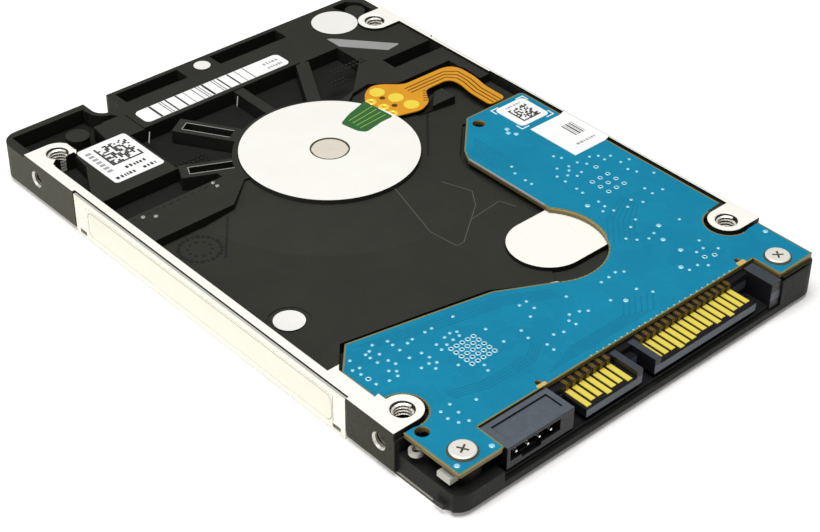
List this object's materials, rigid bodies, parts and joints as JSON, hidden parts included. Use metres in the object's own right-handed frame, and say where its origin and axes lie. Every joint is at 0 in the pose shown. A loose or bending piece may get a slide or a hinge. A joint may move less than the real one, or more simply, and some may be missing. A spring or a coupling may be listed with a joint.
{
  "type": "hard disk drive",
  "caption": "Thin 2.5 inch hard disk drive lying board side up, with spindle motor, swinging head arm, circuit board and combined data and power plug.",
  "frame": {"origin": "under the centre of the drive at its base, where the cover label lies", "axes": "+Z out of the circuit board side, the plug end at -Y, +X across the width"},
  "size_m": [0.0698, 0.1003, 0.007],
  "materials": {
    "casting": "satin black coated casting with machined faces",
    "cover_metal": "bright rolled sheet",
    "gasket": "matte",
    "label_silver": "smooth silver film",
    "screw_dark": "dark plated",
    "machined": "fine machined",
    "bronze": "fine turned",
    "lamination": "stamped laminations",
    "copper_wire": "enamelled copper",
    "flex_amber": "glossy polyimide",
    "steel": "ground",
    "magnet": "nickel plated",
    "disk": "mirror polished",
    "plastic_black": "moulded",
    "slider": "ground",
    "plastic_ivory": "moulded",
    "filter": "felt",
    "board_blue": "solder mask",
    "screw_steel": "plated",
    "film": "thin film",
    "chip": "moulded package",
    "component": "glazed",
    "gold": "gold plated",
    "plastic_slate": "moulded",
    "label_white": "matte white",
    "foil_grey": "thin foil"
  },
  "bodies": {
    "base": {"base_casting": "casting", "top_cover": "cover_metal", "cover_gasket": "gasket", "cover_label": "label_silver", "cover_screws": "screw_dark", "motor_base": "machined", "bearing_sleeve": "bronze", "thrust_cap": "machined", "stator_core": "lamination", "stator_coils": "copper_wire", "motor_flex": "flex_amber", "pivot_post": "steel", "head_flex": "flex_amber", "head_connector": "plastic_black", "lower_yoke": "steel", "upper_yoke": "steel", "yoke_magnets": "magnet", "load_ramp": "plastic_ivory", "ramp_screw": "screw_dark", "latch_pin": "steel", "crash_stops": "gasket", "filter_pad": "filter", "breather_filter": "filter", "pcb": "board_blue", "pcb_screws": "screw_steel", "pcb_insulator": "film", "controller_chip": "chip", "motor_driver": "chip", "memory_chip": "chip", "small_components": "component", "motor_contacts": "gold", "connector_housing": "plastic_slate", "signal_contacts": "gold", "power_contacts": "gold", "jumper_pins": "steel", "barcode_label": "label_white", "code_label": "label_white", "board_label": "label_white", "edge_label": "label_white", "seal_discs": "machined", "process_label": "foil_grey"},
    "rotor": {"rotor_hub": "machined", "spindle_shaft": "steel", "magnet_ring": "magnet", "platter": "disk", "disk_clamp": "steel", "clamp_screw": "screw_dark"},
    "actuator": {"pivot_bearing": "steel", "actuator_arm": "machined", "coil_frame": "plastic_black", "voice_coil": "copper_wire", "suspensions": "steel", "head_sliders": "slider", "arm_preamp": "flex_amber"},
    "latch": {"latch_lever": "plastic_black"}
  },
  "joints": [
    {"name": "spindle_spin", "type": "hinge", "parent": "base", "child": "rotor", "pos_m": [0.0003, 0.0153, 0.0024], "axis": [0, 0, 1], "continuous": true},
    {"name": "actuator_swing", "type": "hinge", "parent": "base", "child": "actuator", "pos_m": [0.013, -0.0225, 0.0024], "axis": [0, 0, 1], "range_deg": [-33, 0]},
    {"name": "latch_swing", "type": "hinge", "parent": "base", "child": "latch", "pos_m": [0.0276, -0.0384, 0.0024], "axis": [0, 0, 1], "range_deg": [-6, 6]}
  ]
}
